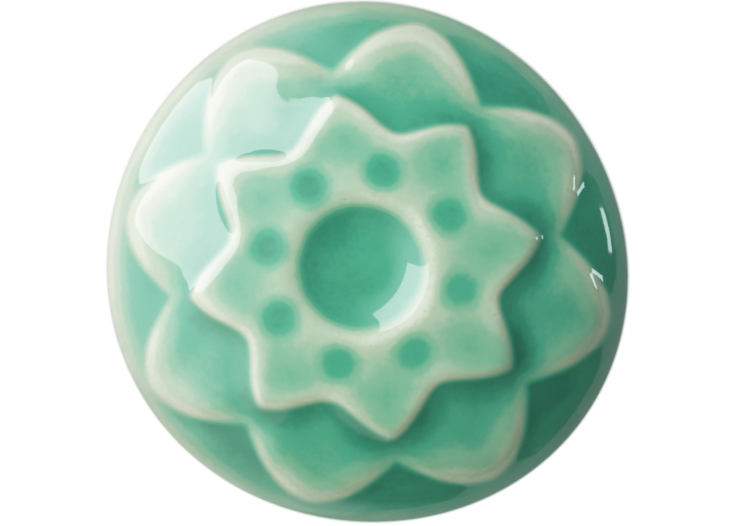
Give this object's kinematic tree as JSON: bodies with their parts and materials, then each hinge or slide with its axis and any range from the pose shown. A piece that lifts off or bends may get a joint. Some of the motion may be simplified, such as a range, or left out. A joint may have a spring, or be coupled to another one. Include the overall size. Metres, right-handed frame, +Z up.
{
  "type": "drawer knob",
  "caption": "Round glazed ceramic drawer knob with an embossed double-flower dome, on a metal collar, with a threaded stud, washer and nut behind.",
  "frame": {"origin": "on the knob's axis, in the plane of the collar's back face, which rests on the drawer front", "axes": "+Z up as the knob stands on an upright drawer front, -Y out of the flower towards the user, +Y along the stud through the drawer front"},
  "size_m": [0.04, 0.0648, 0.04],
  "materials": {
    "glaze": "gloss",
    "cement": "matte",
    "brass": "satin",
    "collar_plate": "polished",
    "zinc_steel": "satin"
  },
  "bodies": {
    "stud": {"threaded_stud": "zinc_steel"},
    "collar": {"base_collar": "collar_plate"},
    "head": {"ceramic_head": "glaze", "setting_cement": "cement", "threaded_insert": "brass"},
    "washer": {"plain_washer": "zinc_steel"},
    "nut": {"hex_nut": "zinc_steel"}
  },
  "joints": [
    {"name": "head_travel", "type": "slide", "parent": "stud", "child": "collar", "axis": [0, -1, 0], "range_m": [0, 0.0091]},
    {"name": "head_turn", "type": "hinge", "parent": "collar", "child": "head", "pos_m": [0, 0, 0], "axis": [0, -1, 0], "range_deg": [0, 4690]},
    {"name": "nut_travel", "type": "slide", "parent": "stud", "child": "washer", "axis": [0, 1, 0], "range_m": [-0.0077, 0.0196]},
    {"name": "nut_turn", "type": "hinge", "parent": "washer", "child": "nut", "pos_m": [0, 0, 0], "axis": [0, 1, 0], "range_deg": [-3970, 10090]}
  ],
  "couplings": [
    {"joint": "head_turn", "follows": "head_travel", "rad_per_m": 8976},
    {"joint": "nut_turn", "follows": "nut_travel", "rad_per_m": 8976}
  ]
}
